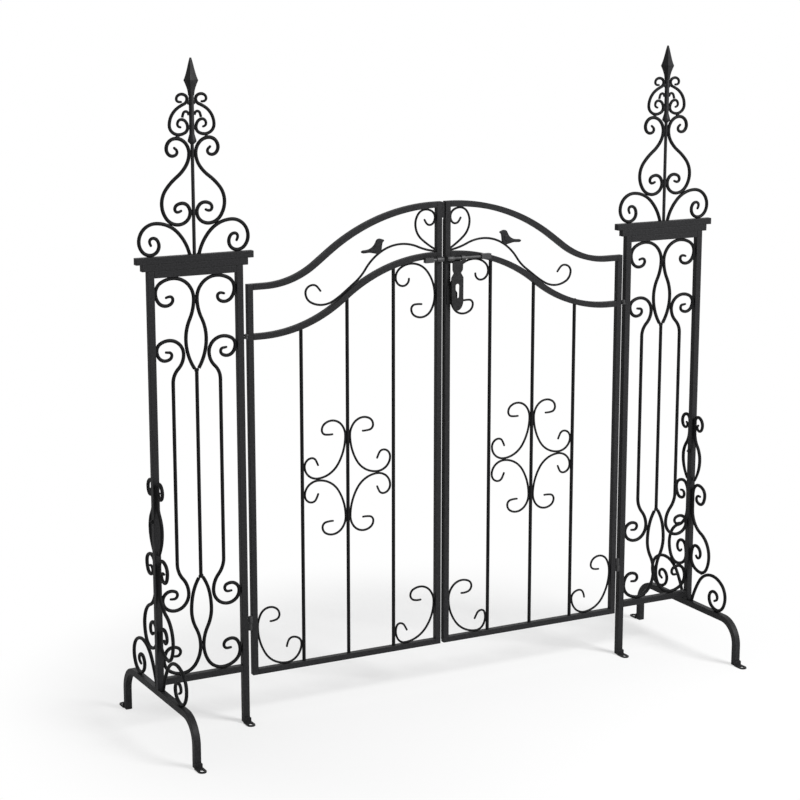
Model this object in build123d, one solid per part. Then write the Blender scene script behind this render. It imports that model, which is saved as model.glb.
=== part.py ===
"""Wrought iron double garden gate with two open side columns.

Millimetres, +Z up, +X along the gate.  The origin is on the floor, under the
middle of the gate, in the plane of its bars.  The gate is seen from -Y.
"""
from build123d import *
import math
import os

# Stock sizes
POST = 19.0                 # square tube of posts, feet, column rails and caps
FRAME = 17.0                # square tube of the gate leaves
ROD = 9.5                   # round bar of the columns, brackets and leaf bars
WIRE = 5.5                  # round wire of the thin leaf scrolls
PLATE = 4.0                 # flat plate of the foot tabs and the birds

# Columns
OUTER_POST_X = 900.0
INNER_POST_X = 640.0
COLUMN_X = (OUTER_POST_X + INNER_POST_X) / 2
SIDE_ROD_X = 70.0           # outer infill rods, from the middle of the column
BOTTOM_RAIL_Z = 163.0
TOP_RAIL_Z = 1313.5
LOWER_SLAB_HALF = 155.0
UPPER_SLAB_HALF = 172.0
CAP_TOP_Z = TOP_RAIL_Z + 2.5 * POST

# Spears on the columns
SPEAR_SHAFT = 14.0
KNOB = 24.0
KNOB_Z = 1668.0
HEAD_NECK_Z = 1788.0
HEAD_WIDEST_Z = 1828.0
HEAD_TIP_Z = 1888.0
HEAD_WIDTH = 40.0           # across the corners of the square head
HEAD_TURN = 17.0            # the head is welded on with a corner to the front and left

# Feet
FOOT_BAR_Z = 132.5
FOOT_Y = 260.0
FOOT_BEND = 70.0
TAB_LENGTH = 40.0
TAB_HOLE_FROM_LEG = 37.0
TAB_HOLE = 9.0

# Gate leaves
HINGE_STILE_X = 609.5
MEETING_STILE_X = 14.0
LEAF_BARS_X = (160.4, 308.6, 453.5)
LEAF_BOTTOM_Z = 146.0

# Hinges
HINGE_Y = -8.0              # pins stand at the front, so that a leaf clears its post
HINGE_PIN = 7.0
HINGE_BARREL = 11.0
HINGE_LUG = 5.0
LOWER_HINGE_Z = 295.0
LOWER_BARREL_HEIGHT = 20.0
UPPER_HINGE_Z = 1123.0
UPPER_BARREL_HEIGHT = 6.0
HINGE_SPLIT = 1.0           # gap between a pin's seat and the barrel that turns above it
PIN_CLEARANCE = 0.05        # radial, between a pin and the barrel that turns on it

# Latch
LATCH_Z = 1297.7
LATCH_Y = -FRAME / 2 - 7.5
BOLT = 9.0
SLEEVE = 15.0
SLEEVE_CLEARANCE = 0.1      # radial, between the bolt and its guides on the right leaf
KEEPER_BORE = 11.0          # the bolt enters the left leaf's sleeve with play, as leaves sag
SLEEVE_HALF = 11.0
KEEPER_BLOCK = (-67.0, -40.0)
BOLT_ENDS = (7.0, 150.0)
BOLT_STOP = (118.0, 150.0)
HASP_THICKNESS = 3.0
HASP_COLLAR = (52.0, 64.0)

os.makedirs("parts", exist_ok=True)


def save(name, shape):
    """Write one named piece."""
    export_step(shape, f"parts/{name}.step")


def heading(degrees):
    return Vector(math.cos(math.radians(degrees)), math.sin(math.radians(degrees)))


def arc_or_line(start, direction, end):
    """A tangent arc, or a straight line where the end lies dead ahead."""
    chord = end - start
    if chord.get_angle(direction) < 0.05:
        return Line(start, end)
    return TangentArc(start, end, tangent=direction)


def smooth_span(start, start_heading, end, end_heading):
    """Two tangent arcs that join two points with the headings asked for there."""
    a = Vector(*start)
    b = Vector(*end)
    leave = heading(start_heading)
    arrive = heading(end_heading)
    chord = b - a
    both = leave + arrive
    spread = 2 * (1 - leave.dot(arrive))
    if spread < 1e-9:
        reach = chord.dot(chord) / (4 * chord.dot(leave))
    else:
        reach = (math.sqrt(chord.dot(both) ** 2 + spread * chord.dot(chord)) - chord.dot(both)) / spread
    first_corner = a + leave * reach
    second_corner = b - arrive * reach
    middle = (first_corner + second_corner) * 0.5
    return [arc_or_line(a, leave, middle), arc_or_line(middle, (second_corner - first_corner).normalized(), b)]


def scroll_line(knots):
    """The centre line of a scroll: (across, up, heading) where it touches or turns."""
    edges = []
    for (u0, v0, h0), (u1, v1, h1) in zip(knots, knots[1:]):
        edges += smooth_span((u0, v0), h0, (u1, v1), h1)
    return Wire(edges)


def round_bar(line, diameter):
    """A round bar bent along a line."""
    return sweep(Plane(origin=line @ 0, z_dir=line % 0) * Circle(diameter / 2), path=line)


def square_bar(line, width, side):
    """A square tube bent along a line, with one pair of faces square to the side direction."""
    section = Plane(origin=line @ 0, x_dir=side, z_dir=line % 0) * Rectangle(width, width)
    return sweep(section, path=line)


def tube(x_range, y_range, z_range):
    """A straight square length between two corners."""
    size = [high - low for low, high in (x_range, y_range, z_range)]
    middle = [(high + low) / 2 for low, high in (x_range, y_range, z_range)]
    return Pos(*middle) * Box(*size)


def across(middle, width):
    return (middle - width / 2, middle + width / 2)


def upright(x, y, z_range, diameter):
    """A vertical round bar."""
    low, high = z_range
    return Pos(x, y, (low + high) / 2) * Cylinder(diameter / 2, high - low)


def flipped(knots, hand):
    """Knots are drawn for the left; hand is -1 for the left and +1 for the right."""
    if hand < 0:
        return knots
    return [(-u, v, 180 - turn) for u, v, turn in knots]


def flat_scroll(knots, diameter, hand=-1):
    """A scroll in the plane of the gate."""
    return round_bar(Plane.XZ * scroll_line(flipped(knots, hand)), diameter)


def both_hands(knots, diameter):
    """A scroll and its mirror image, as two bars."""
    return [flat_scroll(knots, diameter, hand) for hand in (-1, 1)]


# Column infill: a scroll pair at each end of three rods.  Lines are for the
# scrolls left of the column's middle, from the rod outwards to the curled tip.
ROD_GAP = ROD + 0.3
POST_TOUCH = -(OUTER_POST_X - COLUMN_X - POST / 2 - ROD / 2)
TOP_TOUCH_Z = TOP_RAIL_Z - POST / 2 - ROD / 2
BOTTOM_TOUCH_Z = BOTTOM_RAIL_Z + POST / 2 + ROD / 2
LENS_TOP_Z = 449.0
LENS_BOTTOM_Z = 1046.0

UPPER_LENS_SCROLL = [
    (-ROD_GAP / 2 - 1.5, LENS_BOTTOM_Z, 122),
    (-30, 1128, 90),
    (-ROD_GAP / 2, 1240, 90),
    (-64, TOP_TOUCH_Z, 180),
    (POST_TOUCH, 1261, 270),
    (-86, 1225, 360),
    (-65.5, 1241.5, 450),
    (-74.5, 1250, 540),
    (-88, 1246.5, 560),
]
SIDE_BAR = [
    (-95, 398.5, -5),
    (-82, 397.5, 0),
    (-71.5, 408.5, 90),
    (-90.5, 421.5, 180),
    (POST_TOUCH, 396, 270),
    (-80, 363, 360),
    (-37.5, 407, 450),
    (-SIDE_ROD_X, 497, 450),
    (-SIDE_ROD_X, 1010, 450),
    (-37.5, 1088, 450),
    (-80, 1129.5, 540),
    (POST_TOUCH, 1103, 630),
    (-91, 1074, 720),
    (-72, 1088, 810),
    (-80, 1096.5, 900),
    (-92, 1097.5, 905),
]
LOWER_LENS_SCROLL = [
    (-ROD_GAP / 2 - 1.5, LENS_TOP_Z, 238),
    (-30, 356, 270),
    (-ROD_GAP / 2, 250, 270),
    (-62, BOTTOM_TOUCH_Z, 180),
    (POST_TOUCH, 221, 90),
    (-89, 257.5, 0),
    (-66, 241, -90),
    (-77, 230, -180),
    (-90.5, 231, -185),
]

# Finial scrolls, from the inner tip or the rod to the outer tip.
FINIAL_ROD_TOUCH = -ROD_GAP
FAN_SCROLL = [
    (-13.5, CAP_TOP_Z + 0.5, 103),
    (-111, 1450.5, 180),
    (-159.3, 1402.5, 270),
    (-126.7, CAP_TOP_Z + ROD / 2, 360),
    (-101.9, 1390, 450),
    (-118.8, 1411.6, 540),
    (-128.6, 1402.5, 630),
    (-123.9, 1388.8, 650),
]
HEART_SCROLL = [
    (-33, 1482, 205),
    (-46, 1477.5, 180),
    (-54, 1486, 90),
    (-33, 1501, 0),
    (FINIAL_ROD_TOUCH, 1475, -90),
    (-44, 1443.5, -180),
    (-91.3, 1500.9, -270),
    (-46, 1572.5, -323),
    (FINIAL_ROD_TOUCH, 1634.6, -270),
    (-48, 1675.1, -180),
    (-74.8, 1648.4, -90),
    (-57, 1628.5, 0),
    (-44, 1639, 90),
    (-54, 1652.5, 130),
]
CROWN_SCROLL = [
    (-30, 1704.6, 190),
    (-41.3, 1713, 90),
    (-30.3, 1725, 0),
    (-12, 1703.5, -90),
    (-37, 1684.7, -180),
    (-64.5, 1710, -270),
    (-38.6, 1756.6, -327),
    (-12.5, 1779, -270),
    (-28.3, 1792, -180),
    (-42.9, 1779.5, -90),
    (-27, 1772, 15),
]

# Brackets in the YZ plane of each outer post, drawn for the front (-Y) side.
FACE_TOUCH = -(POST + ROD) / 2
FOOT_TOUCH_Z = FOOT_BAR_Z + (POST + ROD) / 2
BRACKET_TOP = [
    (-19, 533, 125),
    (-44, 604, 90),
    (FACE_TOUCH, 690, 90),
    (-31, 740, 180),
    (-53, 717, 270),
    (-37, 697, 360),
    (-26, 707, 450),
    (-34, 715, 530),
]
BRACKET_MIDDLE = [
    (-55, 489.5, -5),
    (-44, 490, 0),
    (-33, 479, -90),
    (-52, 465, -180),
    (-76, 497, -270),
    (-42, 524, -360),
    (FACE_TOUCH, 490, -450),
    (FACE_TOUCH, 440, -450),
    (-106.7, 305, -450),
    (-64, 246, -360),
    (FACE_TOUCH, 285, -270),
    (-38, 327, -180),
    (-62, 304, -90),
    (-49, 289, 0),
    (-38, 298, 60),
]
BRACKET_BOTTOM = [
    (-22, FOOT_BAR_Z + POST / 2 + 0.5, 108),
    (-128, 251.5, 180),
    (-197, 195, 270),
    (-155, FOOT_TOUCH_Z, 360),
    (-115, 180, 450),
    (-138, 203, 540),
    (-157, 187, 630),
    (-140, 172, 690),
]

# Leaf scrolls, drawn for the left leaf.
STILE_TOUCH = -(MEETING_STILE_X + FRAME / 2 + WIRE / 2)
HINGE_STILE_TOUCH = -(HINGE_STILE_X - FRAME / 2 - WIRE / 2)
LEAF_FLOOR_TOUCH = LEAF_BOTTOM_Z + (FRAME + WIRE) / 2


def bar_touch(index, side):
    """Where a wire scroll touches a leaf bar: side is +1 towards the meeting stile."""
    return -LEAF_BARS_X[index] + side * (ROD + WIRE) / 2


class Ogee:
    """An arch rail of the left leaf: level at the hinge stile, level again at the meeting stile."""

    def __init__(self, hinge_z, angle, foot_x, foot_radius, straight):
        self.hinge_z = hinge_z
        self.slope = math.radians(angle)
        self.foot = -foot_x
        self.foot_radius = foot_radius
        self.bend_end = self.foot + foot_radius * math.sin(self.slope)
        self.head_start = self.bend_end + straight * math.cos(self.slope)
        self.crown = -MEETING_STILE_X - FRAME / 2
        self.head_radius = (self.crown - self.head_start) / math.sin(self.slope)
        self.crown_z = (hinge_z + straight * math.sin(self.slope)
                        + (foot_radius + self.head_radius) * (1 - math.cos(self.slope)))

    def height(self, x):
        """Height of the centre line at a place along the left leaf."""
        if x <= self.foot:
            return self.hinge_z
        if x <= self.bend_end:
            return self.hinge_z + self.foot_radius - math.sqrt(self.foot_radius ** 2 - (x - self.foot) ** 2)
        if x <= self.head_start:
            return self.height(self.bend_end) + (x - self.bend_end) * math.tan(self.slope)
        reach = min(x, self.crown) - self.crown
        return self.crown_z - self.head_radius + math.sqrt(self.head_radius ** 2 - reach ** 2)

    def line(self, hand):
        """Centre line from the hinge stile to the meeting stile; hand is as in flipped."""
        def point(x):
            return (-hand * x, self.height(x))

        level = (-hand, 0)
        uphill = (-hand * math.cos(self.slope), math.sin(self.slope))
        edges = [
            Line(point(-HINGE_STILE_X + FRAME / 2), point(self.foot)),
            TangentArc(point(self.foot), point(self.bend_end), tangent=level),
            TangentArc(point(self.head_start), point(self.crown), tangent=uphill),
        ]
        if self.head_start > self.bend_end:
            edges.insert(2, Line(point(self.bend_end), point(self.head_start)))
        return Wire(edges)


UPPER_ARCH = Ogee(hinge_z=1259.0, angle=36.5, foot_x=563.0, foot_radius=260.0, straight=53.0)
LOWER_ARCH = Ogee(hinge_z=1119.0, angle=38.0, foot_x=575.0, foot_radius=418.0, straight=0.0)


def on_rail(arch, x, above):
    """Height of a wire's centre line where it touches an arch rail, above (+1) or below (-1) it."""
    step = 0.5
    slope = math.atan((arch.height(x + step) - arch.height(x - step)) / (2 * step))
    return arch.height(x) + above * (FRAME + WIRE) / 2 / math.cos(slope)


VINE = [
    (STILE_TOUCH - 1, LOWER_ARCH.crown_z + (FRAME + WIRE) / 2 + 0.5, 172),
    (-135, 1348, 180),
    (-250, 1283, 236),
    (-318, on_rail(LOWER_ARCH, -318, 1), 217),
    (-386, 1192, 180),
    (-438, 1230, 90),
    (-415, 1250.5, 0),
    (-390, 1230, -55),
]
CROWN_CURL = [
    (STILE_TOUCH - 1, LOWER_ARCH.crown_z + FRAME / 2 + 1.5 * WIRE + 1.0, 150),
    (-89, 1402, 90),
    (-56, on_rail(UPPER_ARCH, -56, -1), 0),
    (STILE_TOUCH, 1418, -90),
    (-42, 1397, -180),
    (-60.5, 1415, -245),
]
LATCH_CURL = [
    (-110, 1249, -80),
    (-128.6, 1226.5, -180),
    (bar_touch(0, 1), 1252, -270),
    (-117, on_rail(LOWER_ARCH, -117, -1), -348),
    (STILE_TOUCH, 1192, -450),
    (-70, 1131, -540),
    (-102, 1157, -630),
    (-66, 1169, -730),
]
LEFT_CORNER_CURL = [
    (-561, 289, -5),
    (-530, 305, 90),
    (-560, 331, 180),
    (HINGE_STILE_TOUCH, 277, 270),
    (-508, LEAF_FLOOR_TOUCH, 360),
    (bar_touch(2, -1), 208, 450),
    (-488, 231, 540),
    (-508, 203, 625),
]
RIGHT_CORNER_CURL = [
    (-67, 282, 190),
    (-104, 300, 90),
    (-72, 322, 0),
    (STILE_TOUCH, 270, -90),
    (-122, LEAF_FLOOR_TOUCH, -180),
    (bar_touch(0, 1), 195, -270),
    (-139, 218.5, -360),
    (-115, 193, -425),
]
ROSETTE_Z = 688.0
ROSETTE_TOUCH_Z = 120.0
ROSETTE_HALF_WIDTH = LEAF_BARS_X[2] - LEAF_BARS_X[1] - (ROD + WIRE) / 2
ROSETTE_CURL = [
    (-46, 128, 185),
    (-82, 143, 90),
    (-51, 168, 0),
    (-(ROD + WIRE) / 2, ROSETTE_TOUCH_Z, -90),
    (-96, (WIRE + 0.3) / 2, -180),
    (-ROSETTE_HALF_WIDTH, 42, -270),
    (-115, 65, -360),
    (-94, 40, -430),
]
BIRD_OUTLINE = [
    (-262, 1335.5), (-240, 1337), (-222, 1348), (-216, 1358), (-212, 1365), (-205, 1366), (-191, 1362),
    (-196, 1356), (-198, 1345), (-200, 1333), (-213, 1323.5), (-226, 1328.5), (-240, 1331.5), (-262, 1330.5),
]


def build_column(side, hand):
    """Posts, rails, cap, foot, brackets, infill and finial of one column."""
    def put(name, shape):
        save(f"{side}_{name}", shape)

    post_y = across(0, POST)
    outer_x = hand * OUTER_POST_X
    inner_x = hand * INNER_POST_X
    column_x = hand * COLUMN_X
    between_posts = across(column_x, OUTER_POST_X - INNER_POST_X - POST)
    post_top = TOP_RAIL_Z + POST / 2
    slab_top = post_top + POST
    put("outer_post", tube(across(outer_x, POST), post_y, (FOOT_BAR_Z + POST / 2, post_top)))
    put("top_rail", tube(between_posts, post_y, across(TOP_RAIL_Z, POST)))
    put("bottom_rail", tube(between_posts, post_y, across(BOTTOM_RAIL_Z, POST)))
    put("cap_lower_slab", tube(across(column_x, 2 * LOWER_SLAB_HALF), post_y, (post_top, slab_top)))
    upper_slab = tube(across(column_x, 2 * UPPER_SLAB_HALF), post_y, (slab_top, CAP_TOP_Z))
    put("cap_upper_slab", upper_slab)

    # The inner post runs to the floor and ends in a tab with a fixing hole.
    inner_post = tube(across(inner_x, POST), post_y, (0, post_top))
    inner_post += foot_tab(inner_x, -POST / 2, -TAB_HOLE_FROM_LEG)
    put("inner_post", inner_post)

    # The foot is one square tube, bent down at the front and the rear.
    bend = FOOT_Y - FOOT_BEND
    shin = FOOT_BAR_Z - FOOT_BEND
    foot_line = Plane.YZ * Wire([
        Line((-FOOT_Y, 0), (-FOOT_Y, shin)),
        TangentArc((-FOOT_Y, shin), (-bend, FOOT_BAR_Z), tangent=(0, 1)),
        Line((-bend, FOOT_BAR_Z), (bend, FOOT_BAR_Z)),
        TangentArc((bend, FOOT_BAR_Z), (FOOT_Y, shin), tangent=(1, 0)),
        Line((FOOT_Y, shin), (FOOT_Y, 0)),
    ])
    foot = Pos(outer_x, 0, 0) * square_bar(foot_line, POST, (1, 0, 0))
    foot += foot_tab(outer_x, -FOOT_Y - POST / 2, -FOOT_Y - TAB_HOLE_FROM_LEG)
    foot += foot_tab(outer_x, FOOT_Y + POST / 2, FOOT_Y + TAB_HOLE_FROM_LEG)
    put("foot_arch", foot)

    # Three scrolls stacked against the front and the rear face of the outer post.
    foot_space = Pos(0, 0, FOOT_BAR_Z) * Box(POST, 2 * FOOT_Y, POST)
    for place, facing in (("front", 1), ("rear", -1)):
        scrolls = []
        for knots in (BRACKET_TOP, BRACKET_MIDDLE, BRACKET_BOTTOM):
            turned = knots if facing > 0 else [(-u, v, 180 - turn) for u, v, turn in knots]
            scrolls.append(round_bar(Plane.YZ * scroll_line(turned), ROD))
        scrolls[2] -= foot_space
        put(f"{place}_bracket", Pos(outer_x, 0, 0) * Compound([s.solid() for s in scrolls]))

    # Infill: two side bars, each curled at both ends, and four lens scrolls on a middle rod.
    column = Pos(column_x, 0, 0)
    put("middle_rod", column * upright(0, 0, (LENS_TOP_Z, LENS_BOTTOM_Z), ROD))
    put("side_bars", column * Compound(both_hands(SIDE_BAR, ROD)))
    put("lens_scrolls", column * Compound(both_hands(UPPER_LENS_SCROLL, ROD) + both_hands(LOWER_LENS_SCROLL, ROD)))

    cap_space = Pos(0, 0, CAP_TOP_Z - POST / 2) * Box(2 * UPPER_SLAB_HALF, POST, POST)
    fans = [(fan - cap_space).solid() for fan in both_hands(FAN_SCROLL, ROD)]
    put("finial_scrolls", column * Compound(fans + both_hands(HEART_SCROLL, ROD) + both_hands(CROWN_SCROLL, ROD)))
    put("spear", column * spear())


def foot_tab(x, leg_y, hole_y):
    """A flat tab with a fixing hole, welded to the outside of a leg at floor level."""
    reach = math.copysign(TAB_LENGTH, hole_y)
    tab = tube(across(x, POST), sorted((leg_y, leg_y + reach)), (0, PLATE))
    return tab - Pos(x, hole_y, PLATE / 2) * Cylinder(TAB_HOLE / 2, 2 * PLATE)


def spear():
    """The rod above the cap, with its knob, thicker shaft and four-sided head."""
    shaft = SPEAR_SHAFT / 2
    profile = Polyline([
        (0, CAP_TOP_Z), (ROD / 2, CAP_TOP_Z), (ROD / 2, KNOB_Z - 10), (KNOB / 2, KNOB_Z - 3), (KNOB / 2, KNOB_Z + 1),
        (shaft, KNOB_Z + 18), (shaft, HEAD_NECK_Z), (0, HEAD_NECK_Z),
    ], close=True)
    turned = revolve(Plane.XZ * make_face(profile), Axis.Z)
    flare = [(HEAD_NECK_Z, 17.0), (1801.0, 20.0), (1814.0, 28.0), (HEAD_WIDEST_Z, HEAD_WIDTH)]
    point = [(HEAD_WIDEST_Z, HEAD_WIDTH), (1844.0, 28.0), (1863.0, 18.0), (HEAD_TIP_Z, 5.0)]
    return turned + head_part(flare) + head_part(point)


def head_part(corner_widths):
    """Square sections, given by height and width across corners, joined by smooth faces."""
    faces = [Pos(0, 0, z) * Rot(0, 0, HEAD_TURN) * Rectangle(width / math.sqrt(2), width / math.sqrt(2))
             for z, width in corner_widths]
    return loft(faces)


def build_hinges(side, hand):
    """Two pin hinges to a leaf: the post carries the pins, the stile carries the barrels."""
    post_face = INNER_POST_X - POST / 2
    stile_face = HINGE_STILE_X + FRAME / 2
    x = hand * (post_face + stile_face) / 2
    lug_y = across(HINGE_Y, HINGE_LUG)
    pins = []
    barrels = []
    for z, height in ((LOWER_HINGE_Z, LOWER_BARREL_HEIGHT), (UPPER_HINGE_Z, UPPER_BARREL_HEIGHT)):
        seat = (z - HINGE_SPLIT / 2 - height, z - HINGE_SPLIT / 2)
        turning = (z + HINGE_SPLIT / 2, z + HINGE_SPLIT / 2 + height)
        pin = upright(x, HINGE_Y, seat, HINGE_BARREL)
        pin += tube(sorted((hand * post_face, x)), lug_y, seat)
        pin += upright(x, HINGE_Y, (seat[0], turning[1] + HINGE_SPLIT), HINGE_PIN)
        pins.append(pin.solid())
        barrel = upright(x, HINGE_Y, turning, HINGE_BARREL)
        barrel += tube(sorted((hand * stile_face, x)), lug_y, turning)
        bore = HINGE_PIN + 2 * PIN_CLEARANCE
        barrels.append((barrel - upright(x, HINGE_Y, (turning[0] - 1, turning[1] + 1), bore)).solid())
    save(f"{side}_hinge_pins", Compound(pins))
    save(f"{side}_hinge_barrels", Compound(barrels))


def bird(hand):
    """A small flat bird that sits astride the vine and looks to the middle of the gate."""
    outline = Polyline([(-hand * x, z) for x, z in BIRD_OUTLINE], close=True)
    body = extrude(Plane.XZ * make_face(outline), PLATE / 2, both=True)
    return (body - flat_scroll(VINE, WIRE, hand)).solid()


def build_leaf(side, hand):
    """One gate leaf."""
    def put(name, shape):
        save(f"{side}_leaf_{name}", shape)

    leaf_y = across(0, FRAME)
    leaf_low = LEAF_BOTTOM_Z - FRAME / 2
    hinge_x = hand * HINGE_STILE_X
    meeting_x = hand * MEETING_STILE_X
    middle_x = (hinge_x + meeting_x) / 2
    inside = across(middle_x, HINGE_STILE_X - MEETING_STILE_X - FRAME)
    put("hinge_stile", tube(across(hinge_x, FRAME), leaf_y, (leaf_low, UPPER_ARCH.hinge_z + FRAME / 2)))
    put("meeting_stile", tube(across(meeting_x, FRAME), leaf_y, (leaf_low, UPPER_ARCH.crown_z + FRAME / 2)))
    put("bottom_rail", tube(inside, leaf_y, across(LEAF_BOTTOM_Z, FRAME)))
    put("upper_arch_rail", square_bar(Plane.XZ * UPPER_ARCH.line(hand), FRAME, (0, 1, 0)))
    lower_rail = square_bar(Plane.XZ * LOWER_ARCH.line(hand), FRAME, (0, 1, 0))
    put("lower_arch_rail", lower_rail)
    bars = [upright(hand * x, 0, (LEAF_BOTTOM_Z + FRAME / 2, LOWER_ARCH.height(-x)), ROD) - lower_rail
            for x in LEAF_BARS_X]
    put("bars", Compound([bar.solids().sort_by(Axis.Z)[0] for bar in bars]))

    # Four scrolls of one shape stand back to back on the middle bar.
    quarters = []
    for quarter_hand in (-1, 1):
        quarters.append(flat_scroll(ROSETTE_CURL, WIRE, quarter_hand))
        quarters.append(flat_scroll([(u, -v, -turn) for u, v, turn in ROSETTE_CURL], WIRE, quarter_hand))
    put("rosette", Pos(hand * LEAF_BARS_X[1], 0, ROSETTE_Z) * Compound(quarters))
    put("corner_scrolls", Compound([flat_scroll(knots, WIRE, hand)
                                    for knots in (LEFT_CORNER_CURL, RIGHT_CORNER_CURL, LATCH_CURL)]))
    put("arch_scrolls", Compound([flat_scroll(knots, WIRE, hand) for knots in (VINE, CROWN_CURL)]))
    put("bird", bird(hand))


def along_x(x_range, diameter):
    """A round bar on the latch axis."""
    low, high = x_range
    return Pos((low + high) / 2, LATCH_Y, LATCH_Z) * Rot(0, 90, 0) * Cylinder(diameter / 2, high - low)


def build_latch():
    """The sliding bolt, its sleeves and stops, the hasp and the locking tab."""
    bore = BOLT + 2 * SLEEVE_CLEARANCE
    face_y = -FRAME / 2
    left_sleeve = across(-MEETING_STILE_X - 3.0, 2 * SLEEVE_HALF)
    right_sleeve = across(MEETING_STILE_X + 3.0, 2 * SLEEVE_HALF)

    # The keeper is a block with a stub bar and an end disc, and the open sleeve welded to that disc.
    disc_end = left_sleeve[0] + 2
    seat = tube(KEEPER_BLOCK, (LATCH_Y - BOLT / 2 - 2, face_y), across(LATCH_Z, SLEEVE))
    seat += along_x((KEEPER_BLOCK[1], left_sleeve[0]), BOLT)
    seat += along_x((left_sleeve[0], disc_end), SLEEVE)
    catch = along_x((disc_end, left_sleeve[1]), SLEEVE) - along_x((disc_end - 1, left_sleeve[1] + 1), KEEPER_BORE)
    save("latch_keeper", Compound([seat.solid(), catch.solid()]))

    sleeve = along_x(right_sleeve, SLEEVE) - along_x((right_sleeve[0] - 1, right_sleeve[1] + 1), bore)
    stop = tube(BOLT_STOP, (LATCH_Y - BOLT / 2 - 3, face_y), across(LATCH_Z, SLEEVE))
    stop -= along_x((BOLT_STOP[0] - 1, BOLT_STOP[1] + 1), bore)
    save("bolt_guides", Compound([sleeve.solid(), stop.solid()]))
    save("bolt", along_x(BOLT_ENDS, BOLT))

    # The hasp hangs on a collar on the bolt; its slot drops in front of the tab's hole.
    outline = Polyline([
        (66, -2), (66, -8), (56, -17), (56, -34), (50, -43), (58, -56), (58, -124), (37, -152),
        (20, -126), (18, -56), (26, -43), (22, -34), (22, -13), (52, -13), (52, -2),
    ], close=True)
    slot = Pos(38, -92) * Rot(0, 0, 90) * SlotOverall(50, 12)
    plate_plane = Plane(origin=(0, LATCH_Y - 3.0, LATCH_Z), x_dir=(1, 0, 0), z_dir=(0, -1, 0))
    plate = extrude(plate_plane * (make_face(outline) - slot), HASP_THICKNESS)
    collar = along_x(HASP_COLLAR, SLEEVE)
    hasp = plate + collar - along_x((HASP_COLLAR[0] - 1, HASP_COLLAR[1] + 20), BOLT + 2 * PIN_CLEARANCE)
    save("hasp", hasp)

    tab_face = Plane(origin=(0, face_y, LATCH_Z), x_dir=(1, 0, 0), z_dir=(0, -1, 0))
    tab = Polyline([(10, -80), (36, -92), (44, -104), (44, -118), (36, -128), (10, -134)], close=True)
    hole = Pos(37, -110) * Circle(4.5)
    save("locking_tab", extrude(tab_face * (make_face(tab) - hole), HASP_THICKNESS))


for side_name, side_hand in (("left", -1), ("right", 1)):
    build_column(side_name, side_hand)
    build_hinges(side_name, side_hand)
    build_leaf(side_name, side_hand)
build_latch()
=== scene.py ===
"""Wrought iron double garden gate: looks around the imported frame.

Blender 4.5, metres, +Z up, the gate's front towards -Y.
"""
import math
import random

import bmesh
import bpy
from mathutils import Matrix, Vector


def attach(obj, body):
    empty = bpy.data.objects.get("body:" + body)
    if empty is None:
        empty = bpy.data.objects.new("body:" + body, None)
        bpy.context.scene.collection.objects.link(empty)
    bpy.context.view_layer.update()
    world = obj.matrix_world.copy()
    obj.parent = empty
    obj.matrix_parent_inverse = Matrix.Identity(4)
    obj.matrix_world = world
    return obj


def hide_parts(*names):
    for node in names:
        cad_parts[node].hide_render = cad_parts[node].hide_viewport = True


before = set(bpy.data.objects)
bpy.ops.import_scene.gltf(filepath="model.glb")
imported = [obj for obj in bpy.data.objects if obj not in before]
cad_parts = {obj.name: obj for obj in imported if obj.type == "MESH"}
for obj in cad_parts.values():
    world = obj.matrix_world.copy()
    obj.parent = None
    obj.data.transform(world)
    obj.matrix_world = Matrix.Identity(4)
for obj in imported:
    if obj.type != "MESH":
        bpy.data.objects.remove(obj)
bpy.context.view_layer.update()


# Frames of the two columns: outer posts, rails and cap slabs.
# Square steel tube with rounded long edges, cut square, butt-welded and ground at the seams, then powder
# coated in one black satin finish that is slightly hammered.
class Shade:
    """A value that changes over a surface, so that a material's maths reads as plain sums."""

    def __init__(self, socket):
        self.socket = socket

    @staticmethod
    def node(tree, kind, settings=None, inputs=None, output=0):
        """Adds a node: its settings come first, then the values or links of its sockets."""
        made = tree.nodes.new(kind)
        for name, value in (settings or {}).items():
            if name == "stops":
                for stop, (place, colour) in zip(made.color_ramp.elements, value):
                    stop.position = place
                    stop.color = colour
            else:
                setattr(made, name, value)
        for name, value in (inputs or {}).items():
            if isinstance(value, Shade):
                tree.links.new(value.socket, made.inputs[name])
            else:
                made.inputs[name].default_value = value
        return Shade(made.outputs[output]) if made.outputs else made

    def maths(self, operation, first, second):
        return Shade.node(self.socket.id_data, "ShaderNodeMath", {"operation": operation},
                          {0: first, 1: second})

    def __add__(self, other):
        return self.maths("ADD", self, other)

    def __radd__(self, other):
        return self.maths("ADD", other, self)

    def __sub__(self, other):
        return self.maths("SUBTRACT", self, other)

    def __rsub__(self, other):
        return self.maths("SUBTRACT", other, self)

    def __mul__(self, other):
        return self.maths("MULTIPLY", self, other)

    def __rmul__(self, other):
        return self.maths("MULTIPLY", other, self)


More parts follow.
